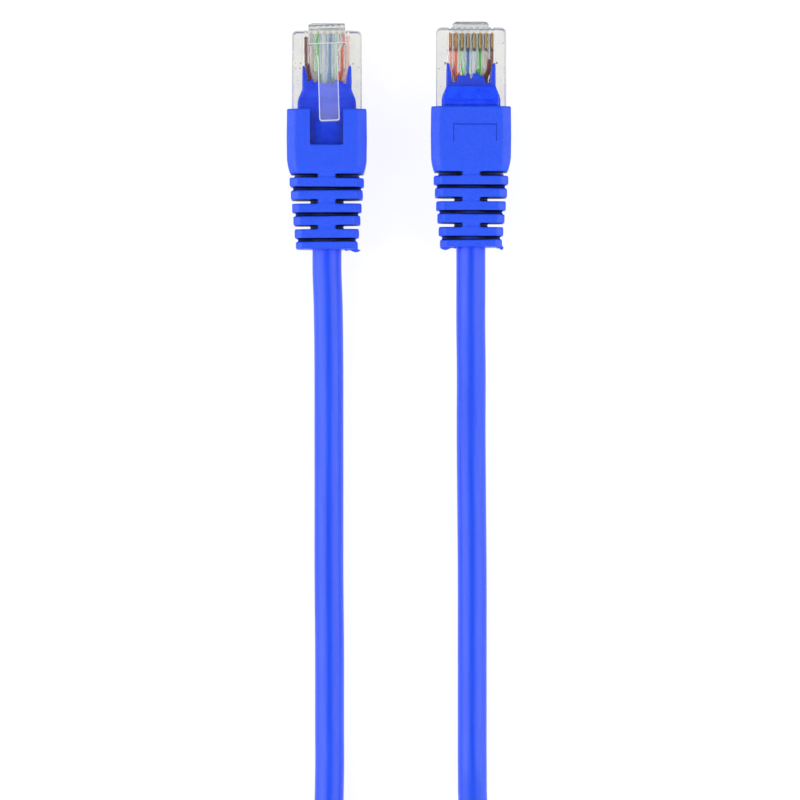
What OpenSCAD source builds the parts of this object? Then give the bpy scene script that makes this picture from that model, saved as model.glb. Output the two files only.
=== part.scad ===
// Ethernet patch cable: two moulded eight-contact plugs on one round cord.
// Both plugs lie side by side and point along +Y. Plug "a" lies latch up, plug "b" lies latch down.
// The rest of the cord is folded into a hank behind them. Millimetres, +Z up.

/* [Plug housing] */
// Width of the clear housing
plug_w = 11.68; // [11.58:0.01:11.79]
// Length of the housing, behind its front face
plug_l = 21.5; // [21:0.1:23]
// Thickness of the housing at its front
plug_h = 6.6; // [6.4:0.05:6.8]
// Thickness of the raised collar inside the boot
collar_h = 7.9; // [7.6:0.1:8.4]
// Distance between neighbouring contacts
pin_pitch = 1.016; // [1.0:0.002:1.03]
// How far the latch root stands in front of the housing
root_l = 1.3; // [1.2:0.05:1.5]

/* [Latch] */
// Width of the latch at its root
latch_w = 6.0; // [5.8:0.05:6.2]
// Width over the two catch shoulders
catch_w = 6.25; // [6.1:0.05:6.4]
// Width of the release lever
lever_w = 3.4; // [3.1:0.05:3.6]
// Thickness of the release lever
lever_t = 1.1; // [0.9:0.05:1.2]
// Length of the latch behind its hinge line
latch_l = 16.5; // [15:0.1:16.6]
// Angle of the relaxed latch above the housing
latch_rise = 11.2; // [10.5:0.1:12]

/* [Contacts] */
// Thickness of a contact blade
blade_t = 0.35; // [0.3:0.01:0.4]
// Length of a contact blade
blade_l = 3.2; // [2.8:0.1:3.4]
// Depth of the blade's edge below the contact side
blade_recess = 0.55; // [0.45:0.05:0.65]

/* [Wires] */
// Diameter of an insulated wire
wire_d = 0.8; // [0.74:0.02:0.8]
// Diameter of a copper core
core_d = 0.46; // [0.4:0.02:0.46]
// Length in which a twisted pair makes one turn
pair_lay = 14; // [12:1:20]

/* [Boot] */
// Width of the boot's grip block
boot_w = 13.5; // [13.3:0.1:14]
// Width of the block's rear step
boot_rear_w = 12.8; // [12.6:0.1:13]
// Thickness of the boot over the plug
boot_wall = 0.85; // [0.7:0.05:0.9]
// How far the housing stands out of the boot
exposed_l = 13.2; // [13.2:0.1:13.6]
// Length of the grip block
block_l = 10.9; // [10.5:0.1:11]
// Number of strain relief ribs
ribs = 6; // [4:1:6]
// Length of a rib
rib_l = 1.5; // [1.3:0.05:1.6]
// Length of the gap in front of a rib
gap_l = 0.65; // [0.5:0.05:0.7]
// Width of the first rib
rib_w_first = 12.5; // [12:0.1:12.7]
// Width of the last rib
rib_w_last = 10.4; // [10:0.1:11]

/* [Cord] */
// Diameter of the cord
cord_d = 4.9; // [4.8:0.05:4.9]
// Inner diameter of the cord's jacket
jacket_id = 4.1; // [4.1:0.01:4.14]
// Distance between the two plugs' centre lines
plug_spacing = 24.2; // [24:0.1:24.4]
// How far plug b lies in front of plug a
plug_shift = 0.3; // [0:0.1:0.5]

/* [Hank] */
// Length of the hank's straight runs
hank_run = 36; // [34:1:40]
// Radius of the inner turn at each end of the hank
turn_r = 15; // [14.8:0.1:15.2]
// Width of a tie
tie_w = 8; // [6:0.5:10]
// Thickness of a tie
tie_t = 0.8; // [0.6:0.1:0.8]

/* [Hidden] */
$fn = 48;
ENDS = ["a", "b"];
PINS = [1:8];

CLEAR = [0.86, 0.88, 0.9, 0.45];
BLUE = [0.12, 0.32, 0.92];
DEEP_BLUE = [0.03, 0.2, 0.95];
GOLD = [0.85, 0.66, 0.3];
COPPER = [0.8, 0.45, 0.25];
DARK = [0.08, 0.08, 0.09];
ORANGE = [0.95, 0.42, 0.2];
GREEN = [0.3, 0.75, 0.3];
SKY = [0.2, 0.5, 0.75];
BROWN = [0.42, 0.22, 0.2];
PALE_ORANGE = [0.95, 0.82, 0.76];
PALE_GREEN = [0.8, 0.92, 0.82];
PALE_SKY = [0.82, 0.86, 0.94];
PALE_BROWN = [0.86, 0.8, 0.78];
// Insulation of pins 1 to 8, paired as 1-2, 3-6, 4-5 and 7-8.
WIRE_COLOURS = [PALE_ORANGE, ORANGE, PALE_GREEN, SKY, PALE_SKY, GREEN, PALE_BROWN, BROWN];
// Where each pin's pair lies round the cord's axis, and where the wire starts in its pair.
PAIR_ANGLES = [0, 0, 270, 90, 90, 270, 180, 180];
WIRE_PHASES = [0, 180, 0, 0, 180, 180, 0, 180];

eps = 0.01;
// Heights above the contact side, in a plug's own coordinates
wire_z = 3.4;
axis_z = 3.7;
// Places behind the housing's front face
wire_front = -0.95;
channel_end = -6.2;
mould_front = -9.2;
jacket_front = -13;
cavity_front = -12.2;
collar_front = -exposed_l - 0.4;
boot_end = -exposed_l - block_l - ribs * (gap_l + rib_l) + 0.3;
core_end = -5.9;
// The hinge line of the latch
hinge_y = 0.6;
hinge_z = 6.65;
barrel_r = 0.55;
lever_gap = 0.07;
catch_end = -3.3;
// The cavity round the inner mould
cavity_w = 9.8;
cavity_z = [1.0, 6.25];
funnel_w = 8.2;
funnel_z = [2.0, 5.5];
window_w = 9.2;
window_y = [-13.7, -10.2];
trough_w = 5.2;
notch_w = 5.6;
notch_l = 6;
sleeve_r = 2.8;
bridge_w = 2.85;
pair_r = 0.43;
pair_ring_r = 1.175;

// Plug a's front face, with the two plugs and boots centred on the origin
nose_y = -(boot_end + root_l + plug_shift) / 2;
latch_top = hinge_z + latch_l * sin(latch_rise) + (lever_gap + lever_t) * cos(latch_rise);

// The cord's route from each boot to the hank, then the hank's own places
CORD_A = [
    [-12.1, -19.15, 4.55], [-12.1, -23, 4.55], [-11.9, -29, 4.35], [-11.8, -38, 3.6], [-11.8, -50, 2.75],
    [-11.8, -62, 2.45], [-11.8, -74, 2.45], [-11.7, -86, 2.45], [-11.7, -98, 2.45], [-11.7, -108, 2.45],
    [-12, -116, 2.5], [-13, -122, 2.6], [-14.7, -128, 2.75], [-16.8, -134, 2.95], [-18.8, -140, 3.15],
    [-19.8, -146, 3.25], [-20, -152, 3.25]
];
CORD_B = [
    [12.1, -18.85, 7.3], [12.1, -25, 7.3], [12.1, -32, 6.6], [12.2, -40, 5.3], [12.2, -50, 3.7],
    [12.3, -62, 2.65], [12.4, -74, 2.45], [12.4, -86, 2.45], [12.4, -97, 2.5], [12.4, -106, 3.3],
    [12.5, -113, 5.3], [13.2, -120, 7.6], [14.8, -127, 8.4], [16.8, -134, 8.4], [18.8, -140, 8.3],
    [19.8, -146, 8.25], [20, -152, 8.25]
];
hank_y = -147;
turn_pitch = cord_d + 0.1;
hank_outer = turn_r + turn_pitch + cord_d / 2;
hank_inner = turn_r - cord_d / 2;
bundle = turn_pitch + cord_d;
bundle_x = turn_r + turn_pitch / 2;

function pin_x(pin) = (4.5 - pin) * pin_pitch;
function ease(t) = t <= 0 ? 0 : t >= 1 ? 1 : t * t * (3 - 2 * t);
function cross_ring(centre, r, sides) =
    [for (k = [0:sides - 1]) let (a = 360 * (k + 0.5) / sides) centre + [r * cos(a), 0, r * sin(a)]];

// Centre of a wire at y: flat in its channel, then spread into a twisted pair inside the jacket
function pair_centre(pin) =
    [pair_ring_r * cos(PAIR_ANGLES[pin - 1]), axis_z + pair_ring_r * sin(PAIR_ANGLES[pin - 1])];
function wire_centre(pin, y) =
    let (
        t = ease((y - channel_end) / (jacket_front - channel_end)),
        turn = WIRE_PHASES[pin - 1] + 360 * max(0, jacket_front - y) / pair_lay,
        pair = pair_centre(pin),
        twisted = [pair[0] + pair_r * cos(turn), pair[1] + pair_r * sin(turn)]
    )
    [(1 - t) * pin_x(pin) + t * twisted[0], y, (1 - t) * wire_z + t * twisted[1]];

// Rings joined in order, with a cap on the first and the last
module skin(rings) {
    n = len(rings[0]);
    last = len(rings) - 1;
    sides = [
        for (i = [0:last - 1], k = [0:n - 1])
            let (a = i * n + k, b = i * n + (k + 1) % n)
            each [[a, b, b + n], [a, b + n, a + n]]
    ];
    caps = [[for (k = [n - 1:-1:0]) k], [for (k = [0:n - 1]) last * n + k]];
    polyhedron([for (ring = rings) each ring], concat(sides, caps));
}

// A round cord along a route of points, square to the route at both ends
module cord(route) {
    last = len(route) - 1;
    skin([
        for (i = [0:last])
            let (
                way = route[min(i + 1, last)] - route[max(i - 1, 0)],
                side = cross(way, [0, 0, 1]) / norm(cross(way, [0, 0, 1])),
                up = cross(side, way) / norm(way)
            )
            [for (k = [0:11]) route[i] + cord_d / 2 * (cos(30 * k) * side + sin(30 * k) * up)]
    ]);
}

// A box between two corners, given per axis as [low, high]
module block(x, y, z) {
    translate([x[0], y[0], z[0]]) cube([x[1] - x[0], y[1] - y[0], z[1] - z[0]]);
}

// A round along Y between two places
module rod(r, y, x = 0, z = axis_z) {
    translate([x, y[1], z]) rotate([90, 0, 0]) cylinder(r = r, h = y[1] - y[0]);
}

// An outline in Y and Z, w wide across X
module across(w, x = 0) {
    translate([x - w / 2, 0, 0]) rotate([90, 0, 90]) linear_extrude(w) children();
}

module rounded_outline(w, h, r) {
    square([w - 2 * r, h], center = true);
    square([w, h - 2 * r], center = true);
    for (x = [-1, 1], y = [-1, 1]) translate([x * (w / 2 - r), y * (h / 2 - r)]) circle(r);
}

// A rounded plate across Y, centred on the height of the boot
module plate(w, h, r, y) {
    translate([0, y[1], collar_h / 2]) rotate([90, 0, 0])
        linear_extrude(y[1] - y[0]) rounded_outline(w, h, r);
}

// Puts a plug's own coordinates at end a, latch up, or at end b, latch down
module at_end(e) {
    if (e == "a") translate([-plug_spacing / 2, nose_y, boot_wall]) children();
    else translate([plug_spacing / 2, nose_y + plug_shift, latch_top]) rotate([0, 180, 0]) children();
}

module plug_housing(e) {
    half = plug_w / 2;
    color(CLEAR) at_end(e) {
        difference() {
            union() {
                block([-half, half], [-plug_l, 0], [0, plug_h]);
                block([-half, -trough_w / 2], [-plug_l, collar_front], [0, collar_h]);
                block([trough_w / 2, half], [-plug_l, collar_front], [0, collar_h]);
                block([-latch_w / 2, latch_w / 2], [-eps, root_l], [4.7, hinge_z - barrel_r - 0.05]);
            }
            block([-cavity_w / 2, cavity_w / 2], [-plug_l - 1, cavity_front], cavity_z);
            block([-funnel_w / 2, funnel_w / 2], [jacket_front, channel_end], funnel_z);
            block([-window_w / 2, window_w / 2], window_y, [-1, funnel_z[0] + eps]);
            block([-2, 2], [-19.5, -14.9], [axis_z, plug_h + 1]);
            for (pin = PINS) {
                rod(0.475, [channel_end - 1, wire_front + 0.05], pin_x(pin), wire_z);
                translate([pin_x(pin), 0, 0]) block([-0.275, 0.275], [-4.15, 1], [-1, wire_z]);
            }
        }
        // Crimp bar over the window in the latch side
        block([-1.6, 1.6], [-19.7, -15.6], [cavity_z[1] + eps, plug_h - 0.05]);
    }
}

module latch(e) {
    color(CLEAR) at_end(e) translate([0, hinge_y, hinge_z]) rotate([-latch_rise, 0, 0]) {
        rotate([0, 90, 0]) cylinder(r = barrel_r, h = latch_w, center = true);
        across(catch_w)
            polygon([[0.3, lever_gap], [0.3, 0.45], [-0.3, 0.75], [catch_end, 1.6], [catch_end, lever_gap]]);
        block([-lever_w / 2, lever_w / 2], [-latch_l, catch_end + eps], [lever_gap, lever_gap + lever_t]);
    }
}

module contact(e, pin) {
    front = -0.75;
    back = front - blade_l;
    low = 2.7;
    corner = 0.5;
    tooth = [0.5, 1.0];
    color(GOLD) at_end(e) across(blade_t, pin_x(pin)) {
        translate([back, blade_recess + corner]) square([blade_l, low - blade_recess - corner]);
        translate([back + corner, blade_recess]) square([blade_l - 2 * corner, corner + eps]);
        for (y = [back + corner, front - corner]) translate([y, blade_recess + corner]) circle(corner);
        for (i = [0:2])
            translate([back + i * (blade_l - tooth[0]) / 2, low - eps])
                polygon([[0, 0], [tooth[0], 0], [tooth[0] / 2, tooth[1]]]);
    }
}

// Insulation, with a blind bore for the bare core at its front end
module wire(e, pin) {
    bore_r = core_d / 2 + 0.03;
    straight = [[core_end, bore_r], [wire_front, bore_r], [wire_front, wire_d / 2]];
    spread = [for (i = [0:7]) [channel_end - i * (channel_end - jacket_front) / 7, wire_d / 2]];
    turns = (jacket_front - boot_end) / pair_lay;
    steps = ceil(8 * turns);
    twisted = [for (i = [1:steps]) [jacket_front + i * (boot_end - jacket_front) / steps, wire_d / 2]];
    color(WIRE_COLOURS[pin - 1]) at_end(e)
        skin([
            for (stop = concat(straight, spread, twisted))
                cross_ring(wire_centre(pin, stop[0]), stop[1], 8)
        ]);
}

module wire_cores(e) {
    color(COPPER) at_end(e)
        for (pin = PINS) rod(core_d / 2, [core_end, wire_front], pin_x(pin), wire_z);
}

// The pre-mould that fills the housing's cavity and locks in its window
module inner_mould(e) {
    half_cavity = cavity_w / 2;
    half_funnel = funnel_w / 2;
    color(DEEP_BLUE) at_end(e) difference() {
        union() {
            block([-half_cavity, half_cavity], [-plug_l, cavity_front], cavity_z);
            block([-half_funnel, half_funnel], [jacket_front, mould_front], funnel_z);
            block([-window_w / 2, window_w / 2], window_y, [0, funnel_z[0] + eps]);
            for (x = [-half_funnel, half_funnel - 0.6])
                block([x, x + 0.6], [mould_front - eps, channel_end - 0.3], [4, funnel_z[1]]);
            for (x = [-half_funnel, half_funnel - 0.6])
                block([x, x + 0.6], [mould_front - eps, channel_end - 0.3], [funnel_z[0], 2.8]);
        }
        for (y = [-12.3, -13.2]) block([-4.2, 4.2], [y - 0.15, y + 0.15], [-1, 0.2]);
        rod(cord_d / 2, [-plug_l - 1, jacket_front]);
        hull() {
            block([-3.95, 3.95], [mould_front + 0.4, mould_front + 0.5], [2.5, 4.4]);
            rod(jacket_id / 2, [jacket_front - 0.1, jacket_front]);
        }
    }
}

module jacket_end(e) {
    color(BLUE) at_end(e) difference() {
        rod(cord_d / 2, [boot_end, jacket_front]);
        rod(jacket_id / 2, [boot_end - 1, jacket_front + 1]);
    }
}

module boot(e) {
    block_end = -exposed_l - block_l;
    pitch = gap_l + rib_l;
    full_h = collar_h + 2 * boot_wall;
    middle = collar_h / 2;
    color(BLUE) at_end(e) difference() {
        union() {
            plate(boot_w, full_h, 1.6, [block_end + 1.5, -exposed_l]);
            plate(boot_rear_w, full_h - 0.4, 1.6, [block_end, block_end + 1.5 + eps]);
            rod(sleeve_r, [boot_end, block_end + eps]);
            plate(rib_w_first - 1.6, full_h - 2.4, 2, [block_end - gap_l - eps, block_end + eps]);
            for (i = [0:ribs - 1]) {
                w = rib_w_first + i * (rib_w_last - rib_w_first) / (ribs - 1);
                h = full_h - 0.6 - 0.2 * i;
                front = block_end - i * pitch - gap_l;
                plate(w, h, 2.4, [max(front - rib_l, boot_end), front]);
                gap = [front - eps, front + gap_l + eps];
                if (i % 2 == 0)
                    block([-bridge_w / 2, bridge_w / 2], gap, [middle - h / 2 + 0.1, middle + h / 2 - 0.1]);
                else
                    block([0.3 - w / 2, w / 2 - 0.3], gap, [axis_z - bridge_w / 2, axis_z + bridge_w / 2]);
            }
        }
        block([-plug_w / 2, plug_w / 2], [-plug_l, 1], [0, collar_h]);
        block([-notch_w / 2, notch_w / 2], [-exposed_l - notch_l, 1], [middle, full_h + 1]);
        rod(cord_d / 2, [boot_end - 1, -plug_l + 1]);
        // Shallow three-sided groove on the contact side
        for (x = [-3.7, 3.4]) block([x, x + 0.3], [-19.3, -16.3], [-boot_wall - 1, 0.3 - boot_wall]);
        block([-3.7, 3.7], [-16.6, -16.3], [-boot_wall - 1, 0.3 - boot_wall]);
    }
}

module stadium(r) {
    square([2 * r, hank_run], center = true);
    for (y = [-1, 1]) translate([0, y * hank_run / 2]) circle(r, $fn = 96);
}

// The whole folded length as one ring, two turns wide and two high
module hank() {
    color(BLUE) translate([0, hank_y - hank_run / 2, tie_t])
        linear_extrude(bundle) difference() {
            stadium(hank_outer);
            stadium(hank_inner);
        }
}

module tie(side) {
    color(DARK) translate([side * bundle_x, hank_y - (hank_run - tie_w) / 2, tie_t + bundle / 2])
        rotate([90, 0, 0]) linear_extrude(tie_w) difference() {
            rounded_outline(bundle + 2 * tie_t, bundle + 2 * tie_t, 1.5);
            square(bundle, center = true);
        }
}

for (e = ENDS) {
    plug_housing(e);
    latch(e);
    for (pin = PINS) {
        contact(e, pin);
        wire(e, pin);
    }
    wire_cores(e);
    inner_mould(e);
    jacket_end(e);
    boot(e);
}
color(BLUE) cord(CORD_A);  // cord_a
color(BLUE) cord(CORD_B);  // cord_b
hank();
tie(-1);  // tie_left
tie(1);  // tie_right
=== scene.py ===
# %% [markdown]
# # A blue network patch cable
#
# The cable has two clear modular plugs. Each one holds eight contact blades and eight thin wires, and a
# soft blue boot is moulded round its back. The CAD frame says where everything goes and how the two latches
# move. This script builds what the eye sees: rounded mouldings, clear plastic, gold edges, striped wires
# and the cord.

# %% The frame
import math
import random

import bmesh
import bpy
from mathutils import Matrix, Vector


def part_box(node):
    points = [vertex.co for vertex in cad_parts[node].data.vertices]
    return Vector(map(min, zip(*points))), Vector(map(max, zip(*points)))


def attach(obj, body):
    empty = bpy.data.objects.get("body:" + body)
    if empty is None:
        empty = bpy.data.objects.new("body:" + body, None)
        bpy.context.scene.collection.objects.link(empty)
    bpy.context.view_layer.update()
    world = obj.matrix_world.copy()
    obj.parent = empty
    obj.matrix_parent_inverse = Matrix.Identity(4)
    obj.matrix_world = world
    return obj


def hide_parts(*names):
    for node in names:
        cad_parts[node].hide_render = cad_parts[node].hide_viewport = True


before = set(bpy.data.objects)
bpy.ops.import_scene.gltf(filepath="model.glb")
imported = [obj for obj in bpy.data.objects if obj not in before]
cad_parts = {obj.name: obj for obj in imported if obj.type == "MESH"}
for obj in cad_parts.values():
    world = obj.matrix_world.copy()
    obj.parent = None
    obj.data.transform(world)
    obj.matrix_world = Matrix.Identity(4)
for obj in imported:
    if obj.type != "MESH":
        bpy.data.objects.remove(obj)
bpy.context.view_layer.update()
MM = 0.001
ENDS = ("a", "b")
PINS = range(1, 9)

# %% [markdown]
# ## Working in a plug's own coordinates
#
# The two plugs are the same part, one lying latch up and one latch down. So every plug piece is drawn once,
# in millimetres, with the housing's front face at y = 0 and its contact side at z = 0. A matrix for each
# end then puts it in the frame. The places are read from the CAD housing's own box.

# %% Places of the two plugs
ROOT_LENGTH = 1.3


def plug_place(end):
    low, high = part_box("plug_housing_" + end)
    middle = (low.x + high.x) / 2
    front = high.y - ROOT_LENGTH * MM
    if end == "a":
        return Matrix.Translation((middle, front, low.z)) @ Matrix.Scale(MM, 4)
    turned = Matrix.Rotation(math.pi, 4, "Y")
    return Matrix.Translation((middle, front, high.z)) @ turned @ Matrix.Scale(MM, 4)


PLACE = {end: plug_place(end) for end in ENDS}
print("front faces at", {end: [round(v / MM, 2) for v in PLACE[end].translation] for end in ENDS})

# %% [markdown]
# ## Camera first
#
# The camera looks straight down from about 0.87 m through a long lens, so both plugs are seen almost
# without perspective. Its aim and field are settled before any cord is laid, because the spare cord has to
# stay outside the picture.

# %% Camera
CAMERA_AIM = Vector((0.2, -44.5, 4.0)) * MM
CAMERA_DISTANCE = 0.87
FIELD = 134.9 * MM
SENSOR = 36.0


def make_camera():
    data = bpy.data.cameras.new("camera")
    data.sensor_width = SENSOR
    data.lens = SENSOR * CAMERA_DISTANCE / FIELD
    camera = bpy.data.objects.new("camera", data)
    camera.location = CAMERA_AIM + Vector((0, 0, CAMERA_DISTANCE))
    bpy.context.scene.collection.objects.link(camera)
    bpy.context.scene.camera = camera
    return camera


print("lens", round(make_camera().data.lens, 1), "mm")

# %% [markdown]
# ## Light and floor
#
# Product pictures of small clear parts are lit by a bright room and two long soft boxes, one on each side.
# Their reflections make the two pale bands along the cord. A third, weaker box stands beyond the hank and
# lights the backs of the ribs. The floor is a white light table that glows a little, which takes the
# shadows away, and the Standard view transform keeps the blue as saturated as vinyl is.

# %% Light and floor
scene = bpy.context.scene
scene.view_settings.view_transform = "Standard"


def node(tree, kind, inputs=None, **settings):
    """Adds a node. A socket given as an input is linked, and any other value is set."""
    made = tree.nodes.new(kind)
    for key, value in settings.items():
        setattr(made, key, value)
    for key, value in (inputs or {}).items():
        if isinstance(value, bpy.types.NodeSocket):
            tree.links.new(value, made.inputs[key])
        else:
            made.inputs[key].default_value = value
    return made


def flow(tree, kind, inputs=None, **settings):
    """Adds a node and gives back its first output."""
    return node(tree, kind, inputs, **settings).outputs[0]


def maths(tree, operation, first, second, **settings):
    return flow(tree, "ShaderNodeMath", {0: first, 1: second}, operation=operation, **settings)


def spread(tree, value, inside, outside, **settings):
    """Maps one range of a value to another, and holds it at the ends."""
    limits = {1: inside[0], 2: inside[1], 3: outside[0], 4: outside[1]}
    return flow(tree, "ShaderNodeMapRange", {0: value, **limits}, **settings)


def new_material(name, **sockets):
    """A material with a bare Principled shader. Gives back the material, its tree and the shader."""
    material = bpy.data.materials.new(name)
    material.use_nodes = True
    shader = material.node_tree.nodes["Principled BSDF"]
    for key, value in sockets.items():
        shader.inputs[key.replace("_", " ")].default_value = value
    return material, material.node_tree, shader


def make_world(horizon, sky, zenith):
    """A room that is bright half way up. Its dark horizon draws the edges of clear plastic, and its dim
    zenith keeps flat tops from washing out. Seen directly, it is a plain white backdrop."""
    world = bpy.data.worlds.new("room")
    world.use_nodes = True
    tree = world.node_tree
    tree.nodes.clear()
    place = node(tree, "ShaderNodeTexCoord")
    axes = node(tree, "ShaderNodeSeparateXYZ", {0: place.outputs["Generated"]})
    rise = spread(tree, axes.outputs["Z"], (0.05, 0.5), (horizon, sky))
    fall = spread(tree, axes.outputs["Z"], (0.8, 0.97), (1.0, zenith / sky))
    light = maths(tree, "MULTIPLY", rise, fall)
    rays = node(tree, "ShaderNodeLightPath")
    seen = node(tree, "ShaderNodeMix", {0: rays.outputs["Is Camera Ray"], 2: light, 3: 1.0})
    background = node(tree, "ShaderNodeBackground", {"Color": (1, 1, 1, 1), "Strength": seen.outputs[0]})
    node(tree, "ShaderNodeOutputWorld", {"Surface": background.outputs[0]})
    scene.world = world


def soft_box(name, place, aim, size, power):
    data = bpy.data.lights.new(name, "AREA")
    data.shape = "RECTANGLE"
    data.size, data.size_y = size
    data.energy = power
    light = bpy.data.objects.new(name, data)
    light.location = place
    light.rotation_mode = "QUATERNION"
    light.rotation_quaternion = (Vector(aim) - Vector(place)).to_track_quat("-Z", "Y")
    scene.collection.objects.link(light)


def make_floor(half, reflected, glow):
    bm = bmesh.new()
    bmesh.ops.create_grid(bm, x_segments=1, y_segments=1, size=half)
    mesh = bpy.data.meshes.new("floor")
    bm.to_mesh(mesh)
    bm.free()
    floor = bpy.data.objects.new("floor", mesh)
    floor.location = (0, -0.1, -0.0002)
    scene.collection.objects.link(floor)
    material, _, _ = new_material(
        "light_table", Base_Color=(reflected, reflected, reflected, 1), Roughness=0.9, Specular_IOR_Level=0.1,
        Emission_Color=(1, 1, 1, 1), Emission_Strength=glow,
    )
    mesh.materials.append(material)


# Each soft box has a place, an aim, a size in metres and a power in watts
SOFT_BOXES = {
    "box_left": ((-0.6, -0.05, 0.34), (0, -0.05, 0), (0.5, 1.1), 4.2),
    "box_right": ((0.6, -0.05, 0.34), (0, -0.05, 0), (0.5, 1.1), 3.7),
    "box_near": ((0, -0.75, 0.36), (0, 0, 0), (0.5, 0.3), 1.2),
}
make_world(horizon=0.03, sky=0.55, zenith=0.13)
for name, values in SOFT_BOXES.items():
    soft_box(name, *values)
make_floor(half=1.5, reflected=0.24, glow=0.84)
print("lights", sorted(SOFT_BOXES))

# %% [markdown]
# ## Solids from simple shapes
#
# Injection moulded parts are best made the way their tools are cut: closed shapes that are added to each
# other and taken away from each other. These few helpers draw closed shapes into a bmesh, and `combine`
# runs Blender's exact Boolean on two of them and gives back plain mesh data.

# %% Shape helpers
def block(bm, x, y, z):
    """A box between two corners, given per axis as (low, high)."""
    centre = [(pair[0] + pair[1]) / 2 for pair in (x, y, z)]
    size = [pair[1] - pair[0] for pair in (x, y, z)]
    bmesh.ops.create_cube(bm, size=1, matrix=Matrix.LocRotScale(centre, None, size))


def loft(bm, rings):
    """Joins rings of points in order and closes both ends."""
    rows = [[bm.verts.new(point) for point in ring] for ring in rings]
    for a, b in zip(rows, rows[1:]):
        for k in range(len(a)):
            n = (k + 1) % len(a)
            bm.faces.new((a[k], a[n], b[n], b[k]))
    bm.faces.new(rows[0][::-1])
    bm.faces.new(rows[-1])


def circle_ring(y, radius, x=0.0, z=0.0, sides=40):
    """Points of a round section across Y."""
    turns = [2 * math.pi * k / sides for k in range(sides)]
    return [(x + radius * math.cos(t), y, z + radius * math.sin(t)) for t in turns]


def rounded_ring(y, width, height, radius, z=0.0, steps=6):
    """Points of a rectangle with round corners across Y, centred on height z."""
    ring = []
    for corner, (sx, sz) in enumerate(((1, 1), (-1, 1), (-1, -1), (1, -1))):
        for k in range(steps + 1):
            turn = math.pi / 2 * (corner + k / steps)
            x = sx * (width / 2 - radius) + radius * math.cos(turn)
            ring.append((x, y, z + sz * (height / 2 - radius) + radius * math.sin(turn)))
    return ring


def arc(x, y, radius, start, steps=6, turn=math.pi / 2):
    """Points of an arc about (x, y), with both ends. A negative turn runs clockwise."""
    turns = [start + turn * k / steps for k in range(steps + 1)]
    return [(x + radius * math.cos(t), y + radius * math.sin(t)) for t in turns]


def tidy_mesh(bm, name):
    """Turns a bmesh into mesh data whose faces point outwards."""
    bmesh.ops.remove_doubles(bm, verts=bm.verts, dist=1e-5)
    bmesh.ops.recalc_face_normals(bm, faces=bm.faces)
    mesh = bpy.data.meshes.new(name)
    bm.to_mesh(mesh)
    bm.free()
    return mesh


def plain_result(holder):
    """The evaluated mesh of an object, as plain data. The object is removed."""
    evaluated = holder.evaluated_get(bpy.context.evaluated_depsgraph_get())
    result = bpy.data.meshes.new_from_object(evaluated)
    bpy.data.objects.remove(holder)
    return result


def held(mesh, name="holder"):
    """An object that holds mesh data while modifiers work on it."""
    holder = bpy.data.objects.new(name, mesh)
    scene.collection.objects.link(holder)
    return holder


def with_modifiers(mesh, modifiers):
    """Runs modifiers, given as (type, settings), on mesh data and gives back the resulting mesh data."""
    holder = held(mesh)
    for kind, settings in modifiers:
        modifier = holder.modifiers.new(kind, kind)
        for key, value in settings.items():
            setattr(modifier, key, value)
    return plain_result(holder)


def combine(mesh, other, operation="DIFFERENCE", solver="EXACT"):
    """Boolean of two closed meshes. With the exact solver, each may be several overlapping shells."""
    tool = held(other, "tool")
    settings = {"operation": operation, "object": tool, "solver": solver}
    if solver == "EXACT":
        settings["use_self"] = True
    result = with_modifiers(mesh, [("BOOLEAN", settings)])
    bpy.data.objects.remove(tool)
    return result


def softened(mesh, voxel, passes):
    """Melts overlapping shells into one skin, and smooths it so that every edge is round."""
    return with_modifiers(mesh, [
        ("REMESH", {"mode": "VOXEL", "voxel_size": voxel}), ("SMOOTH", {"factor": 0.5, "iterations": passes}),
    ])


print("shape helpers ready")

# %% [markdown]
# ## Finishing a piece
#
# Every finished piece ends the same way: its mesh is put in the frame, it gets its material, it is hung on
# the empty of the body that carries it, and the CAD nodes that it stands for are hidden.

# %% Finishing a piece
def add_piece(name, mesh, materials, body, cad_nodes, place, sharp_angle=None):
    """Makes a finished piece. A mesh with two materials keeps the second one on its bevelled edges."""
    mesh.transform(place)
    materials = materials if isinstance(materials, list) else [materials]
    edge_faces = [len(materials) > 1 and polygon.material_index == 1 for polygon in mesh.polygons]
    mesh.materials.clear()
    for material in materials:
        mesh.materials.append(material)
    mesh.polygons.foreach_set("material_index", [int(edge) for edge in edge_faces])
    mesh.polygons.foreach_set("use_smooth", [True] * len(mesh.polygons))
    if sharp_angle is not None:
        mesh.set_sharp_from_angle(angle=math.radians(sharp_angle))
    piece = bpy.data.objects.new(name, mesh)
    scene.collection.objects.link(piece)
    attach(piece, body)
    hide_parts(*cad_nodes)
    triangles = sum(len(polygon.vertices) - 2 for polygon in mesh.polygons)
    print(name, "has", triangles, "triangles")
    return piece


# %% [markdown]
# ## Effects that several materials share
#
# Moulded vinyl has a fine grain and drifts a little in tone, so `moulded_grain` gives both from one vector.
# Its sizes are in noise waves per metre, because a finished piece is in metres. The edge highlight group
# finds raised edges from the difference between the real normal and a rounded one, and the gold paints a
# pale highlight along them.
# The slot shade group finds deep slots, and the boot uses it to paint them almost black as painted shade,
# since on a real boot hardly any light comes back out of them.

# %% Shader groups
def new_group(name, kind, inputs, outputs):
    """A node group. Each socket is given as its kind, or as the number that it starts from."""
    tree = bpy.data.node_groups.new(name, kind)
    for in_out, sockets in (("INPUT", inputs), ("OUTPUT", outputs)):
        for key, value in sockets.items():
            is_kind = isinstance(value, str)
            word = value if is_kind else {int: "Int", float: "Float"}[type(value)]
            socket = tree.interface.new_socket(key, in_out=in_out, socket_type="NodeSocket" + word)
            if not is_kind:
                socket.default_value = value
    return tree, node(tree, "NodeGroupInput").outputs, node(tree, "NodeGroupOutput").inputs


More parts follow.
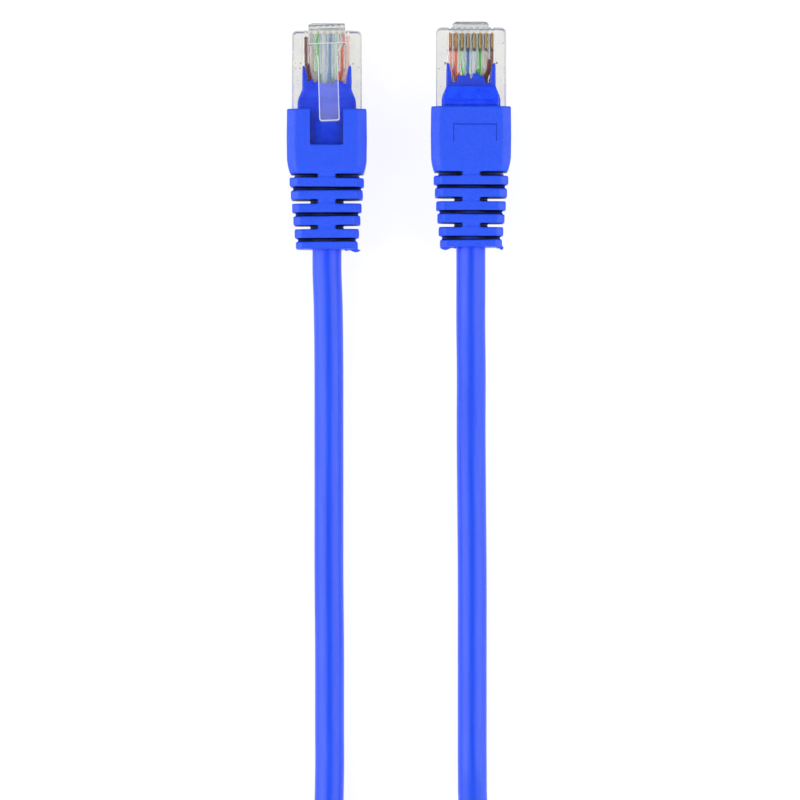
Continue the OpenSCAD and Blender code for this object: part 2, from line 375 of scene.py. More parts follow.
def make_moulded_grain():
    inputs = {"Vector": "Vector", "Grain Scale": 9000.0, "Drift Scale": 260.0}
    outputs = {"Grain": "Float", "Drift": "Float"}
    tree, given, out = new_group("moulded_grain", "ShaderNodeTree", inputs, outputs)
    for key, detail in (("Grain", 3.0), ("Drift", 2.0)):
        speckle = flow(
            tree, "ShaderNodeTexNoise",
            {"Vector": given["Vector"], "Scale": given[key + " Scale"], "Detail": detail, "Roughness": 0.6},
        )
        tree.links.new(spread(tree, speckle, (0.32, 0.68), (0.0, 1.0)), out[key])
    return tree


# Painted highlight: finds raised edges, where a pale highlight is painted into the base colour
def make_raised_edge_highlight():
    inputs = {"Radius": 0.0002, "Strength": 4.0}
    tree, given, out = new_group("edge_light", "ShaderNodeTree", inputs, {"Edge": "Float"})
    rounded = flow(tree, "ShaderNodeBevel", {"Radius": given["Radius"]}, samples=4)
    plain = node(tree, "ShaderNodeNewGeometry").outputs["Normal"]
    match = node(tree, "ShaderNodeVectorMath", {0: rounded, 1: plain}, operation="DOT_PRODUCT")
    turned = maths(tree, "SUBTRACT", 1.0, match.outputs["Value"])
    tree.links.new(maths(tree, "MULTIPLY", turned, given["Strength"], use_clamp=True), out["Edge"])
    return tree


# Painted shade: ambient occlusion finds deep slots, whose openness darkens the base colour towards near black
def make_slot_shade():
    inputs = {"Distance": 0.0018, "Closed": 0.2, "Open": 0.6}
    tree, given, out = new_group("painted_slot_shade", "ShaderNodeTree", inputs, {"Openness": "Float"})
    distance = {"Distance": given["Distance"]}
    reach = node(tree, "ShaderNodeAmbientOcclusion", distance, samples=8, only_local=True).outputs["AO"]
    limits = (given["Closed"], given["Open"])
    openness = spread(tree, reach, limits, (0.0, 1.0), interpolation_type="SMOOTHSTEP")
    tree.links.new(openness, out["Openness"])
    return tree


GRAIN = make_moulded_grain()
RAISED_EDGE_HIGHLIGHT = make_raised_edge_highlight()
SLOT_SHADE = make_slot_shade()
print("shader groups", GRAIN.name, RAISED_EDGE_HIGHLIGHT.name, SLOT_SHADE.name)


# %% Material helpers
def group(tree, shared, **inputs):
    """A shader group placed in a material, with its own input values."""
    named = {key.replace("_", " "): value for key, value in inputs.items()}
    return node(tree, "ShaderNodeGroup", named, node_tree=shared)


def object_grain(tree, grain_scale, drift_scale, stretch=(1.0, 1.0, 1.0)):
    """The grain and the drift on Object coordinates, which can be drawn out along an axis."""
    place = node(tree, "ShaderNodeTexCoord").outputs["Object"]
    place = flow(tree, "ShaderNodeMapping", {"Vector": place, "Scale": stretch})
    marks = group(tree, GRAIN, Vector=place, Grain_Scale=grain_scale, Drift_Scale=drift_scale)
    return marks.outputs["Grain"], marks.outputs["Drift"]


def mix_colour(tree, factor, first, second):
    mixed = node(tree, "ShaderNodeMix", {0: factor, 6: first, 7: second}, data_type="RGBA")
    return mixed.outputs[2]


def dress(tree, shader, tone, rough=None, relief=None):
    """Feeds the shader: rough is (mask, low, high), and relief is (height, depth in metres, strength)."""
    tree.links.new(tone, shader.inputs["Base Color"])
    if rough:
        tree.links.new(spread(tree, rough[0], (0.0, 1.0), rough[1:]), shader.inputs["Roughness"])
    if relief:
        bump = {"Height": relief[0], "Distance": relief[1], "Strength": relief[2]}
        tree.links.new(flow(tree, "ShaderNodeBump", bump), shader.inputs["Normal"])


# %% [markdown]
# ## Blue vinyl
#
# The boots and the cord are the same blue PVC. The boot's mould is spark eroded, so it has a fine matt
# grain. The cord is extruded, so it is smoother, and its faint streaks run lengthwise. Both read
# coordinates that follow the surface: the boot reads Object coordinates and the cord reads how far along
# and around its own line a point lies.

# %% Blue vinyl materials
BOOT_BLUE = (0.001, 0.06, 0.87, 1)
BOOT_BLUE_LIGHT = (0.01, 0.1, 0.96, 1)
# The near black that is painted into deep slots as shade
BOOT_PAINTED_SHADE = (0.001, 0.004, 0.035, 1)
CORD_BLUE = (0.002, 0.062, 0.84, 1)
CORD_BLUE_LIGHT = (0.008, 0.085, 0.91, 1)


def boot_vinyl():
    material, tree, shader = new_material("boot_vinyl", Roughness=0.42, Specular_IOR_Level=0.5)
    grain, drift = object_grain(tree, 5200.0, 330.0)
    tone = mix_colour(tree, grain, BOOT_BLUE, BOOT_BLUE_LIGHT)
    # Painted shade: the deep slots between the ribs are darkened towards near black in the base colour
    slots = group(tree, SLOT_SHADE, Distance=0.0018, Closed=0.22, Open=0.62)
    tone = mix_colour(tree, slots.outputs["Openness"], BOOT_PAINTED_SHADE, tone)
    dress(tree, shader, tone, (drift, 0.35, 0.48), (grain, 0.000035, 0.8))
    return material


def cord_vinyl():
    material, tree, shader = new_material("cord_vinyl", Roughness=0.36, Specular_IOR_Level=0.5)
    along = node(tree, "ShaderNodeAttribute", attribute_name="along").outputs["Fac"]
    around = node(tree, "ShaderNodeAttribute", attribute_name="around").outputs["Vector"]
    side = node(tree, "ShaderNodeSeparateXYZ", {0: around}).outputs
    place = flow(tree, "ShaderNodeCombineXYZ", {"X": side["X"], "Y": side["Y"], "Z": along})
    streaks = flow(tree, "ShaderNodeMapping", {"Vector": place, "Scale": (0.004, 0.004, 0.12)})
    marks = group(tree, GRAIN, Vector=streaks, Grain_Scale=1500.0, Drift_Scale=420.0).outputs
    tone = mix_colour(tree, marks["Drift"], CORD_BLUE, CORD_BLUE_LIGHT)
    dress(tree, shader, tone, (marks["Grain"], 0.33, 0.42), (marks["Grain"], 0.00001, 0.5))
    return material


BOOT_VINYL = boot_vinyl()
CORD_VINYL = cord_vinyl()
print("vinyl", BOOT_VINYL.name, CORD_VINYL.name)

# %% [markdown]
# ## The cord's route
#
# About 0.92 m of cord joins the two boots. It runs straight back from each boot, and the rest is folded
# into a hank of two turns beside each other on two layers. The free stretches follow listed points, through
# a smooth spline. The hank's turns are worked out: straight runs and half circles, whose places in the
# bundle turn by a quarter at the top of each round, so that strands never cross through each other.

# %% Free stretches
ROUTE_A = [
    (-12.1, -19.15, 4.55), (-12.1, -23, 4.55), (-11.9, -29, 4.35), (-11.8, -38, 3.6), (-11.8, -50, 2.75),
    (-11.8, -62, 2.45), (-11.8, -74, 2.45), (-11.7, -86, 2.45), (-11.7, -98, 2.45), (-11.7, -108, 2.45),
    (-12, -116, 2.5), (-13, -122, 2.6), (-14.7, -128, 2.75), (-16.8, -134, 2.95), (-18.8, -140, 3.15),
    (-19.8, -146, 3.25), (-20, -152, 3.25),
]
ROUTE_B = [
    (12.1, -18.85, 7.3), (12.1, -25, 7.3), (12.1, -32, 6.6), (12.2, -40, 5.3), (12.2, -50, 3.7),
    (12.3, -62, 2.65), (12.4, -74, 2.45), (12.4, -86, 2.45), (12.4, -97, 2.5), (12.4, -106, 3.3),
    (12.5, -113, 5.3), (13.2, -120, 7.6), (14.8, -127, 8.4), (16.8, -134, 8.4), (18.8, -140, 8.3),
    (19.8, -146, 8.25), (20, -152, 8.25),
]
SPLINE_STEPS = 10


def smooth_route(points):
    """A Catmull-Rom spline through the points."""
    points = [Vector(p) for p in points]
    line = [points[0]]
    for i in range(len(points) - 1):
        before = points[max(i - 1, 0)]
        a, b = points[i], points[i + 1]
        after = points[min(i + 2, len(points) - 1)]
        for k in range(1, SPLINE_STEPS + 1):
            t = k / SPLINE_STEPS
            curve = (b - before) * t + (2 * before - 5 * a + 4 * b - after) * t * t
            line.append(a + (curve + (3 * a - before - 3 * b + after) * t ** 3) / 2)
    return line


LEAD_A = smooth_route(ROUTE_A)
LEAD_B = smooth_route(ROUTE_B)
print("free stretches have", len(LEAD_A), "and", len(LEAD_B), "points")

# %% The hank's turns
RUN_TOP, RUN_BOTTOM = -147.0, -183.0
HANK_OUTER, HANK_INNER = 20.0, 15.0
LAYER_LOW, LAYER_HIGH = 3.25, 8.25
BUNDLE = Vector(((HANK_OUTER + HANK_INNER) / 2, (LAYER_LOW + LAYER_HIGH) / 2))
TURN_LIFT = 0.35
ARC_STEPS = 48


def bottom_turn(radius, z):
    turns = [math.pi * (1 + k / ARC_STEPS) for k in range(ARC_STEPS + 1)]
    return [Vector((radius * math.cos(t), RUN_BOTTOM + radius * math.sin(t), z)) for t in turns]


def top_turn(radius, z):
    """From right to left over the top, while the strand's place in the bundle turns by a quarter."""
    offset = Vector((radius, z)) - BUNDLE
    line = []
    for k in range(ARC_STEPS + 1):
        s = k / ARC_STEPS
        eased = s * s * (3 - 2 * s)
        turned = Matrix.Rotation(-math.pi / 2 * eased, 2) @ offset + BUNDLE
        angle = math.pi * s
        lift = TURN_LIFT * math.sin(math.pi * eased)
        x, y = turned.x * math.cos(angle), RUN_TOP + turned.x * math.sin(angle)
        line.append(Vector((x, y, turned.y + lift)))
    return line


def hank_line():
    """The folded length, from the end of one free stretch to the end of the other."""
    strands = [
        (HANK_OUTER, LAYER_LOW), (HANK_INNER, LAYER_LOW), (HANK_INNER, LAYER_HIGH), (HANK_OUTER, LAYER_HIGH),
    ]
    line = []
    for count, (radius, z) in enumerate(strands):
        line += bottom_turn(radius, z)
        if count < len(strands) - 1:
            line += top_turn(radius, z)
    return line


def even_steps(line, step):
    """Points along a line, all the same distance apart."""
    lengths = [0.0]
    for a, b in zip(line, line[1:]):
        lengths.append(lengths[-1] + (b - a).length)
    count = round(lengths[-1] / step)
    points, i = [], 0
    for k in range(count + 1):
        wanted = lengths[-1] * k / count
        while i < len(line) - 2 and lengths[i + 1] < wanted:
            i += 1
        span = max(lengths[i + 1] - lengths[i], 1e-9)
        points.append(line[i].lerp(line[i + 1], (wanted - lengths[i]) / span))
    return points, lengths[-1]


CORD_LINE, CORD_LENGTH = even_steps(LEAD_A + hank_line() + LEAD_B[::-1], 1.0)
print("cord is", round(CORD_LENGTH, 1), "mm long, in", len(CORD_LINE), "points")

# %% [markdown]
# ## A node tree that sweeps a round along a line
#
# The cord and all sixteen wires are a round swept along a line, so one Geometry Nodes tree makes them. It
# stores two attributes on the way. `along` is the distance in metres, and `around` is the place on the
# round as a point on a unit circle, which has no seam. The materials use them for streaks and stripes.

# %% Sweep tree
def geometry_tree(name, inputs):
    """A geometry tree. Besides its own inputs, each one takes a geometry and a material."""
    passed = {"Geometry": "Geometry"}
    return new_group(name, "GeometryNodeTree", {**passed, **inputs, "Material": "Material"}, passed)


def close_tree(tree, given, out, geometry):
    """Every tree ends in Realize Instances and Set Material, because an export drops instances."""
    real = flow(tree, "GeometryNodeRealizeInstances", {0: geometry})
    painted = flow(tree, "GeometryNodeSetMaterial", {"Geometry": real, "Material": given["Material"]})
    tree.links.new(painted, out[0])
    return tree


def store(tree, geometry, name, value, data_type):
    """Keeps a value of each point as a named attribute."""
    inputs = {"Geometry": geometry, "Name": name, "Value": value}
    return flow(tree, "GeometryNodeStoreNamedAttribute", inputs, data_type=data_type, domain="POINT")


def sweep_tree():
    tree, given, out = geometry_tree("sweep_round", {"Radius": 0.4, "Sides": 16, "Unit": MM})
    line = flow(tree, "GeometryNodeMeshToCurve", {"Mesh": given["Geometry"]})
    length = node(tree, "GeometryNodeSplineParameter").outputs["Length"]
    line = store(tree, line, "along", maths(tree, "MULTIPLY", length, given["Unit"]), "FLOAT")
    ring = flow(
        tree, "GeometryNodeCurvePrimitiveCircle", {"Resolution": given["Sides"], "Radius": given["Radius"]}
    )
    position = flow(tree, "GeometryNodeInputPosition")
    unit = flow(tree, "ShaderNodeVectorMath", {0: position}, operation="NORMALIZE")
    ring = store(tree, ring, "around", unit, "FLOAT_VECTOR")
    swept = flow(tree, "GeometryNodeCurveToMesh", {"Curve": line, "Profile Curve": ring, "Fill Caps": True})
    return close_tree(tree, given, out, swept)


SWEEP = sweep_tree()


def grown(name, mesh, tree, **inputs):
    """Runs a node tree on mesh data and gives back the result as plain mesh data."""
    holder = held(mesh, name)
    modifier = holder.modifiers.new(name, "NODES")
    modifier.node_group = tree
    for item in tree.interface.items_tree:
        key = item.name.replace(" ", "_")
        if item.item_type == "SOCKET" and item.in_out == "INPUT" and key in inputs:
            modifier[item.identifier] = inputs[key]
    return plain_result(holder)


def swept_mesh(name, points, radius, sides, material):
    line = bpy.data.meshes.new(name)
    line.from_pydata(points, [(i, i + 1) for i in range(len(points) - 1)], [])
    mesh = grown(name, line, SWEEP, Radius=radius, Sides=sides, Material=material)
    bm = bmesh.new()
    bm.from_mesh(mesh)
    return tidy_mesh(bm, name)


print("sweep tree has", len(SWEEP.nodes), "nodes")

# %% [markdown]
# ## Ties
#
# A hank is held by two hook and loop straps. Each goes once round the four strands and its tail lies over
# its start. A strap is a flat band, so it is lofted: the band's small rectangle with round edges is placed
# square to a rounded path again and again. The weave and the fuzzy loops are in the material.

# %% Tie fabric
def tie_fabric():
    material, tree, shader = new_material(
        "tie_fabric", Roughness=0.85, Specular_IOR_Level=0.2, Sheen_Weight=0.35, Sheen_Roughness=0.5
    )
    wave = {"Vector": node(tree, "ShaderNodeTexCoord").outputs["Object"], "Scale": 420.0, "Distortion": 1.5}
    x, y, z = (
        node(tree, "ShaderNodeTexWave", wave, bands_direction=direction).outputs["Fac"] for direction in "XYZ"
    )
    weave = maths(tree, "MULTIPLY", maths(tree, "MAXIMUM", x, z), y)
    fuzz, _ = object_grain(tree, 6000.0, 500.0)
    height = maths(tree, "ADD", weave, fuzz)
    tone = mix_colour(tree, height, (0.008, 0.008, 0.009, 1), (0.035, 0.036, 0.04, 1))
    dress(tree, shader, tone, relief=(height, 0.00012, 0.9))
    return material


TIE_FABRIC = tie_fabric()

# %% Ties
TIE_WIDTH = 8.0
TIE_THICKNESS = 0.8
CORD_DIAMETER = 4.9
# The strap's section, as shares of its half width and half thickness
TIE_SECTION = [(-1, -0.55), (-0.96, -1), (0.96, -1), (1, -0.55), (1, 0.55), (0.96, 1), (-0.96, 1), (-1, 0.55)]


def tie_path(x):
    """Once round the bundle, then a short way further on top of the start."""
    half = CORD_DIAMETER + 0.05
    corner = CORD_DIAMETER / 2
    ring = rounded_ring(0, 2 * half, 2 * half, corner, 0, 10)
    count = len(ring)
    path = []
    for k in range(count + count // 4 + 1):
        px, _, pz = ring[k % count]
        outward = 1 + (TIE_THICKNESS / 2 + 0.02) / half
        over = min(1, max(0, (k - count + 5) / 5)) * (TIE_THICKNESS - 0.15) / half
        path.append(Vector((px * (outward + over) + x, 0, pz * (outward + over) + BUNDLE.y)))
    return path


def tie_mesh(name, x):
    bm = bmesh.new()
    path, _ = even_steps(tie_path(x), 0.35)
    middle = (RUN_TOP + RUN_BOTTOM) / 2
    rings = []
    for i, point in enumerate(path):
        way = (path[min(i + 1, len(path) - 1)] - path[max(i - 1, 0)]).normalized()
        out = Vector((way.z, 0, -way.x))
        near_end = min(1, (len(path) - 1 - i) / 6)
        half_width = TIE_WIDTH / 2 * (0.86 + 0.14 * near_end)
        half_thick = TIE_THICKNESS / 2 * (0.55 if i > len(path) // 2 * 1.55 else 1) * (0.5 + 0.5 * near_end)
        rings.append([
            point + Vector((0, middle + a * half_width, 0)) + out * (b * half_thick) for a, b in TIE_SECTION
        ])
    loft(bm, rings)
    return tidy_mesh(bm, name)


TIES = [
    add_piece("strap_" + side, tie_mesh("strap_" + side, sign * BUNDLE.x), TIE_FABRIC, "cable",
              ["tie_" + side], Matrix.Scale(MM, 4), 40)
    for side, sign in (("left", -1), ("right", 1))
]

# %% [markdown]
# ## The cord
#
# The cord is one piece from boot to boot. Its mesh is swept along the worked-out line.

# %% Cord
CORD_SIDES = 28


def make_cord():
    mesh = swept_mesh("cord", CORD_LINE, CORD_DIAMETER / 2, CORD_SIDES, CORD_VINYL)
    piece = add_piece("cord", mesh, CORD_VINYL, "cable", ["cord_a", "cord_b", "hank"],
                      Matrix.Scale(MM, 4), 50)


make_cord()

# %% [markdown]
# ## Boots
#
# A boot is one soft moulding: a grip block over the back of the plug, then six rib plates on a round
# sleeve. The plates hang together by bridges that change from the middle to the sides, so the boot bends
# both ways. The plates repeat and shrink by a rule, so a node tree makes them, each one leaning a little as
# real soft mouldings do. All shells are then united, cut and remeshed with a fine voxel size, and smoothed,
# which rounds every edge.

# %% Boot sizes
EXPOSED = 13.2
BLOCK_END = -24.1
BLOCK_WIDTH = 13.45
BOOT_HEIGHT = 9.6
BOOT_MIDDLE = 3.95
AXIS_Z = 3.7
RIBS = 6
RIB_LENGTH = 1.5
RIB_GAP = 0.65
RIB_PITCH = RIB_LENGTH + RIB_GAP
RIB_WIDTHS = (12.5, 10.4)
RIB_HEIGHTS = (9.0, 8.0)
SLEEVE_RADIUS = 2.8
BRIDGE_WIDTH = 2.85
NOTCH_WIDTH = 5.6
NOTCH_LENGTH = 6.0
BOOT_END = BLOCK_END - RIBS * RIB_PITCH + 0.3
HOUSING_WIDTH = 11.68
HOUSING_LENGTH = 21.5
COLLAR_HEIGHT = 7.9
print("boot ends at", round(BOOT_END, 2))


# %% Rib plate tree
def rib_tree():
    inputs = {
        "Count": RIBS, "Pitch": RIB_PITCH, "Thickness": RIB_LENGTH,
        "First Width": RIB_WIDTHS[0], "Last Width": RIB_WIDTHS[1],
        "First Height": RIB_HEIGHTS[0], "Last Height": RIB_HEIGHTS[1],
        "Corner": 1.25, "Lean": 0.013, "Seed": 3,
    }
    tree, given, out = geometry_tree("rib_plates", inputs)
    outline = flow(
        tree, "GeometryNodeCurvePrimitiveQuadrilateral",
        {"Width": given["First Width"], "Height": given["First Height"]},
    )
    corners = {"Curve": outline, "Radius": given["Corner"], "Count": 1}
    filleted = flow(tree, "GeometryNodeFilletCurve", corners, mode="POLY")
    face = flow(tree, "GeometryNodeFillCurve", {"Curve": filleted}, mode="NGONS")
    push = {"Mesh": face, "Offset Scale": given["Thickness"], "Individual": False}
    raised = flow(tree, "GeometryNodeExtrudeMesh", push)
    under = flow(tree, "GeometryNodeFlipFaces", {"Mesh": face})
    joined = node(tree, "GeometryNodeJoinGeometry")
    tree.links.new(raised, joined.inputs[0])
    tree.links.new(under, joined.inputs[0])
    plate = flow(tree, "GeometryNodeMergeByDistance", {"Geometry": joined.outputs[0], "Distance": 0.001})
    step = flow(tree, "ShaderNodeCombineXYZ", {"Y": maths(tree, "MULTIPLY", given["Pitch"], -1.0)})
    places = flow(tree, "GeometryNodeMeshLine", {"Count": given["Count"], "Offset": step}, mode="OFFSET")
    index = flow(tree, "GeometryNodeInputIndex")
    share = maths(tree, "DIVIDE", index, maths(tree, "SUBTRACT", given["Count"], 1.0))
    sizes = []
    for key in ("Width", "Height"):
        ratio = maths(tree, "DIVIDE", given["Last " + key], given["First " + key])
        sizes.append(spread(tree, share, (0.0, 1.0), (1.0, ratio)))
    scale = flow(tree, "ShaderNodeCombineXYZ", {"X": sizes[0], "Y": sizes[1], "Z": 1.0})
    limits = {0: (-1, 0, -1), 1: (1, 0, 1), "Seed": given["Seed"]}
    lean = flow(tree, "FunctionNodeRandomValue", limits, data_type="FLOAT_VECTOR")
    small = flow(tree, "ShaderNodeVectorMath", {0: lean, "Scale": given["Lean"]}, operation="SCALE")
    upright = flow(tree, "ShaderNodeVectorMath", {0: small, 1: (math.pi / 2, 0.0, 0.0)}, operation="ADD")
    placed = flow(
        tree, "GeometryNodeInstanceOnPoints",
        {"Points": places, "Instance": plate, "Rotation": upright, "Scale": scale},
    )
    return close_tree(tree, given, out, placed)


RIB_PLATES = rib_tree()
print("rib tree has", len(RIB_PLATES.nodes), "nodes")


# %% Boot mesh
def chamfered_ring(y, width, height, chamfer=1.3, drop=0.8, corner=0.3):
    """Section of the grip block: a flat top and bottom, with a slanted band down each long edge."""
    half_w, half_h = width / 2, height / 2
    quarter = [
        (half_w, half_h - drop - corner), (half_w - 0.08, half_h - drop),
        (half_w - chamfer, half_h - 0.06), (half_w - chamfer - corner, half_h),
    ]
    mirrored = [(-x, z) for x, z in quarter[::-1]]
    top = quarter + mirrored
    return [(x, y, BOOT_MIDDLE + z) for x, z in top + [(-x, -z) for x, z in top]]


def flash_tab(bm, xs, y, z):
    """A thin wisp of vinyl that squeezed out where the boot's mould halves meet."""
    rings = []
    for k in range(7):
        t = k / 6
        x = xs[0] + t * (xs[1] - xs[0])
        drop = 0.22 * math.sin(2.2 * math.pi * t) - 0.1
        thick = 0.32 * (1 - 0.45 * t)
        corners = ((0.6, -1), (0.6, 1), (-0.6, 1), (-0.6, -1))
        rings.append([(x, y + drop + dy * thick, z + dz * 0.5) for dy, dz in corners])
    loft(bm, rings)


# The grip block's sections from front to back, as (y, width, height)
BLOCK_STATIONS = [
    (-EXPOSED, 13.2, 9.35), (-EXPOSED - 0.15, 13.35, 9.6), (-18, BLOCK_WIDTH, 9.6), (-21.8, 13.35, 9.6),
    (-22.9, 13.0, 9.55), (-23.9, 12.45, 9.3), (BLOCK_END, 12.3, 9.1),
]
NECK = (RIB_WIDTHS[0] - 1.6, RIB_HEIGHTS[0] - 3.4)
NECK_CORNER = 1.8
OVERLAP = 0.1
BRIDGE_OVERLAP = 0.3
BRIDGE_INSET = {"middle": 0.12, "sides": 0.35}
RIB_SEEDS = {"a": 3, "b": 8}


def boot_shells(end):
    bm = bmesh.new()
    loft(bm, [chamfered_ring(*station) for station in BLOCK_STATIONS])
    loft(bm, [circle_ring(y, SLEEVE_RADIUS, 0, AXIS_Z) for y in (BOOT_END, BLOCK_END + OVERLAP)])
    neck_ends = (BLOCK_END - RIB_GAP - OVERLAP, BLOCK_END + OVERLAP)
    loft(bm, [rounded_ring(y, *NECK, NECK_CORNER, BOOT_MIDDLE) for y in neck_ends])
    for i in range(RIBS):
        share = i / (RIBS - 1)
        width = RIB_WIDTHS[0] + share * (RIB_WIDTHS[1] - RIB_WIDTHS[0])
        height = RIB_HEIGHTS[0] + share * (RIB_HEIGHTS[1] - RIB_HEIGHTS[0])
        front = BLOCK_END - i * RIB_PITCH
        gap = (front - RIB_GAP - BRIDGE_OVERLAP, front + BRIDGE_OVERLAP)
        if i % 2 == 0:
            half, reach = BRIDGE_WIDTH / 2, height / 2 - BRIDGE_INSET["middle"]
            block(bm, (-half, half), gap, (BOOT_MIDDLE - reach, BOOT_MIDDLE + reach))
        else:
            half, reach = width / 2 - BRIDGE_INSET["sides"], BRIDGE_WIDTH / 2
            block(bm, (-half, half), gap, (AXIS_Z - reach, AXIS_Z + reach))
    empty = bpy.data.meshes.new("seed")
    plates = grown("plates", empty, RIB_PLATES, Count=RIBS, Seed=RIB_SEEDS[end], Material=BOOT_VINYL)
    plates.transform(Matrix.Translation((0, BLOCK_END - RIB_GAP, BOOT_MIDDLE)))
    bm.from_mesh(plates)
    return tidy_mesh(bm, "boot_shells")


HOUSING_ROOM = 0.03


def boot_cuts():
    """Room for the housing, the lever's notch and the cord's bore. The sleeve is cut square at its end."""
    bm = bmesh.new()
    half = HOUSING_WIDTH / 2 + HOUSING_ROOM
    block(bm, (-half, half), (-HOUSING_LENGTH, 1), (-0.02, COLLAR_HEIGHT))
    notch = NOTCH_WIDTH / 2
    block(bm, (-notch, notch), (-EXPOSED - NOTCH_LENGTH, 1), (BOOT_MIDDLE, BOOT_HEIGHT + 1))
    loft(bm, [circle_ring(y, CORD_DIAMETER / 2, 0, AXIS_Z) for y in (BOOT_END - 2, -HOUSING_LENGTH + 1)])
    block(bm, (-9, 9), (BOOT_END - 3, BOOT_END), (-3, 12))
    return tidy_mesh(bm, "boot_cuts")


# The groove runs across its front and back along its two sides
GROOVE_X = (-4.3, 3.0)
GROOVE_FRONT = -16.1
GROOVE_LENGTH = 2.9
GROOVE_WIDTH = 0.17
GROOVE_DEPTH = 0.12


def groove_tool():
    """The shallow groove on three sides of a rectangle, cut last so that it stays crisp."""
    bm = bmesh.new()
    depth = (-3, BOOT_MIDDLE - BOOT_HEIGHT / 2 + GROOVE_DEPTH)
    left, right = GROOVE_X
    for x in (left, right - GROOVE_WIDTH):
        block(bm, (x, x + GROOVE_WIDTH), (GROOVE_FRONT - GROOVE_LENGTH, GROOVE_FRONT), depth)
    block(bm, (left + OVERLAP, right - OVERLAP), (GROOVE_FRONT - GROOVE_WIDTH, GROOVE_FRONT), depth)
    return tidy_mesh(bm, "groove")


BOOT_VOXEL = 0.165
BOOT_SMOOTHING = 3
# Where along X each wisp of flash starts and ends, and how far above the cord it hangs
FLASH = {"a": [(3.1, 5.75)], "b": [(2.5, 5.2), (-4.4, -5.5)]}
FLASH_SIDE = {"a": 1.6, "b": -1.6}


def make_boot(end):
    bm = bmesh.new()
    for xs in FLASH[end]:
        flash_tab(bm, xs, BOOT_END - OVERLAP, AXIS_Z + FLASH_SIDE[end])
    bm.from_mesh(combine(boot_shells(end), boot_cuts()))
    skin = softened(tidy_mesh(bm, "boot"), BOOT_VOXEL, BOOT_SMOOTHING)
    skin = combine(skin, groove_tool(), solver="MANIFOLD")
    add_piece("boot_moulding_" + end, skin, BOOT_VINYL, "cable", ["boot_" + end], PLACE[end])


for end in ENDS:
    make_boot(end)

# %% [markdown]
# ## Clear plastic
#
# Plug housings are clear polycarbonate, which bends light strongly and is never perfectly clean: it has a
# faint haze and soft flow ripples from moulding. The Principled shader with full transmission does this.
# For shadow rays it is mixed with a Transparent shader, so that the wires inside are lit as if the plastic
# let the light through.

# %% Clear plastic materials
def clear_plastic(name, cool, warm, haze, milk, grazing, ripple):
    """Here milk is the share of light scattered back, grazing is the tint painted on faces seen edge on,
    which mostly draws darker outlines as painted shade, and ripple is the depth of the flow marks."""
    material, tree, shader = new_material(name, Roughness=0.06, Transmission_Weight=1.0 - milk, IOR=1.5)
    _, drift = object_grain(tree, 2600.0, 380.0)
    # Painted shade: faces seen edge on take the grazing tint, which mostly draws darker outlines
    tilt = node(tree, "ShaderNodeLayerWeight", {"Blend": 0.35}).outputs["Facing"]
    tone = mix_colour(tree, tilt, mix_colour(tree, drift, cool, warm), grazing)
    dress(tree, shader, tone, (drift, haze / 2, haze), (drift, ripple, 0.7))
    shadow = node(tree, "ShaderNodeLightPath").outputs["Is Shadow Ray"]
    through = flow(tree, "ShaderNodeBsdfTransparent", {"Color": (0.93, 0.94, 0.95, 1)})
    mixed = flow(tree, "ShaderNodeMixShader", {0: shadow, 1: shader.outputs[0], 2: through})
    output = next(n for n in tree.nodes if n.type == "OUTPUT_MATERIAL")
    tree.links.new(mixed, output.inputs["Surface"])
    return material


CLEAR_HOUSING = clear_plastic(
    "clear_housing", (0.78, 0.79, 0.8, 1), (0.9, 0.88, 0.82, 1), 0.08, 0.01, (0.36, 0.37, 0.38, 1), 0.00003
)
CLEAR_LATCH = clear_plastic(
    "clear_latch", (0.84, 0.88, 0.89, 1), (0.9, 0.93, 0.93, 1), 0.15, 0.06, (0.7, 0.74, 0.8, 1), 0.000008
)
# Bevelled edges: painted shade makes them darker on the housing, and a painted highlight makes them white on
# the latch
HOUSING_EDGE_SHADE = clear_plastic(
    "housing_edge", (0.5, 0.5, 0.52, 1), (0.62, 0.61, 0.6, 1), 0.3, 0.1, (0.3, 0.3, 0.32, 1), 0.00003
)
LATCH_EDGE_HIGHLIGHT = clear_plastic(
    "latch_edge", (0.86, 0.96, 1.0, 1), (1.0, 1.0, 1.0, 1), 0.5, 0.62, (0.93, 0.96, 1.0, 1), 0.00001
)
print("clear plastic", CLEAR_HOUSING.name, CLEAR_LATCH.name, HOUSING_EDGE_SHADE.name, LATCH_EDGE_HIGHLIGHT.name)

# %% [markdown]
# ## Plug housings
#
# The housing starts as a plan outline with round front corners, pushed up to its thickness and bevelled.
# Behind it stand the two collar walls that the boot grips. Then its tool is taken away: eight slots for the
# blades, eight channels for the wires, the funnel and the cavity for the blue inner mould, and the window
# in its contact side.

# %% Housing sizes
# Faces that meet at more than this angle, in degrees, keep a crisp edge
SHARP = 20
HOUSING_HEIGHT = 6.6
PIN_PITCH = 1.016
WIRE_Z = 3.4
CHANNEL_END = -6.2
FUNNEL_Z = (2.0, 5.5)
CAVITY_Z = (1.0, 6.25)
WINDOW_Y = (-13.7, -10.2)
JACKET_FRONT = -13.0


def pin_x(pin):
    return (4.5 - pin) * PIN_PITCH


def slab(points, push):
    """A closed slab: a flat outline, pushed along a vector."""
    bm = bmesh.new()
    face = bm.faces.new([bm.verts.new(point) for point in points])
    moved = bmesh.ops.extrude_face_region(bm, geom=[face])["geom"]
    far = [item for item in moved if isinstance(item, bmesh.types.BMVert)]
    bmesh.ops.translate(bm, verts=far, vec=push)
    return tidy_mesh(bm, "slab")


def plan_slab(outline, z):
    """A slab from an outline of (x, y) points, between two heights."""
    return slab([(x, y, z[0]) for x, y in outline], (0, 0, z[1] - z[0]))


def side_slab(outline, half_width):
    """A slab from an outline of (y, z) points, across X."""
    return slab([(-half_width, y, z) for y, z in outline], (2 * half_width, 0, 0))


def round_front(half, front, back, radius):
    """Outline with a straight back and two round front corners."""
    outline = [(-half, back), (half, back)]
    for side, start in ((1, 0.0), (-1, math.pi / 2)):
        outline += arc(side * (half - radius), front - radius, radius, start)
    return outline


